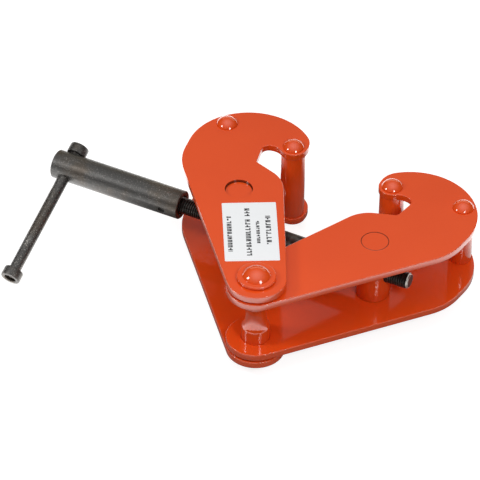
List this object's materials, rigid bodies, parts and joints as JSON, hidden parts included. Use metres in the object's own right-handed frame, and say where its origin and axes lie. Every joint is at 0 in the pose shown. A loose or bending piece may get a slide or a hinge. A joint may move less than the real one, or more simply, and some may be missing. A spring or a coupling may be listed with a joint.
{
  "type": "beam clamp",
  "caption": "Screw-adjusted beam clamp: two pairs of hooked jaw plates turn on a waisted suspension pin and are drawn together by a double-threaded spindle with a sliding tommy bar.",
  "frame": {"origin": "middle of the suspension pin, on the jaws' pivot axis and half-way between the plates", "axes": "the clamp lies on its side: +Z along the suspension pin, +X along the spindle from the handle to its free end, +Y from the pivot towards the mouth of the jaws"},
  "size_m": [0.3589, 0.2144, 0.0967],
  "materials": {
    "orange_paint": "gloss",
    "black_steel": "satin black oxide",
    "label_film": "satin"
  },
  "bodies": {
    "pivot": {"suspension_pin": "orange_paint", "pivot_top_washer": "orange_paint", "pivot_bottom_washer": "orange_paint", "pivot_top_ring": "orange_paint", "pivot_bottom_ring": "orange_paint"},
    "left_jaw": {"left_jaw_top_plate": "orange_paint", "left_jaw_bottom_plate": "orange_paint", "left_tip_bar": "orange_paint", "left_tip_rivet": "orange_paint", "left_back_spacer": "orange_paint", "left_back_rivet": "orange_paint", "label": "label_film"},
    "right_jaw": {"right_jaw_top_plate": "orange_paint", "right_jaw_bottom_plate": "orange_paint", "right_tip_bar": "orange_paint", "right_tip_rivet": "orange_paint", "right_back_spacer": "orange_paint", "right_back_rivet": "orange_paint"},
    "left_nut": {"left_trunnion": "orange_paint"},
    "right_nut": {"right_trunnion": "orange_paint"},
    "bush": {"spindle_bush": "black_steel"},
    "screw": {"spindle": "black_steel", "handle_tube": "black_steel", "handle_cross_pin": "black_steel"},
    "bar": {"tommy_bar": "black_steel", "tommy_bar_upper_knob": "black_steel", "tommy_bar_lower_knob": "black_steel"}
  },
  "joints": [
    {"name": "left_jaw_swing", "type": "hinge", "parent": "pivot", "child": "left_jaw", "pos_m": [0, 0, 0], "axis": [0, 0, 1], "range_deg": [-11.5, 24]},
    {"name": "right_jaw_swing", "type": "hinge", "parent": "pivot", "child": "right_jaw", "pos_m": [0, 0, 0], "axis": [0, 0, -1], "range_deg": [-11.5, 24]},
    {"name": "left_nut_turn", "type": "hinge", "parent": "left_jaw", "child": "left_nut", "pos_m": [-0.0614, 0.0917, 0], "axis": [0, 0, -1], "range_deg": [-11.5, 24]},
    {"name": "right_nut_turn", "type": "hinge", "parent": "right_jaw", "child": "right_nut", "pos_m": [0.0614, 0.0917, 0], "axis": [0, 0, 1], "range_deg": [-11.5, 24]},
    {"name": "spindle_travel", "type": "slide", "parent": "left_nut", "child": "bush", "axis": [1, 0, 0], "range_m": [-0.0164, 0.0342]},
    {"name": "spindle_turn", "type": "hinge", "parent": "bush", "child": "screw", "pos_m": [0, 0.0917, 0], "axis": [-1, 0, 0], "range_deg": [-2948, 6153]},
    {"name": "tommy_bar_slide", "type": "slide", "parent": "screw", "child": "bar", "axis": [0, 0.9272, 0.3746], "range_m": [0, 0.0916]}
  ],
  "couplings": [
    {"joint": "left_jaw_swing", "follows": "spindle_turn", "ratio": 0.0039},
    {"joint": "right_jaw_swing", "follows": "spindle_turn", "ratio": 0.0039},
    {"joint": "left_nut_turn", "follows": "spindle_turn", "ratio": 0.0039},
    {"joint": "right_nut_turn", "follows": "spindle_turn", "ratio": 0.0039},
    {"joint": "spindle_travel", "follows": "spindle_turn", "m_per_rad": 0.00031831}
  ]
}
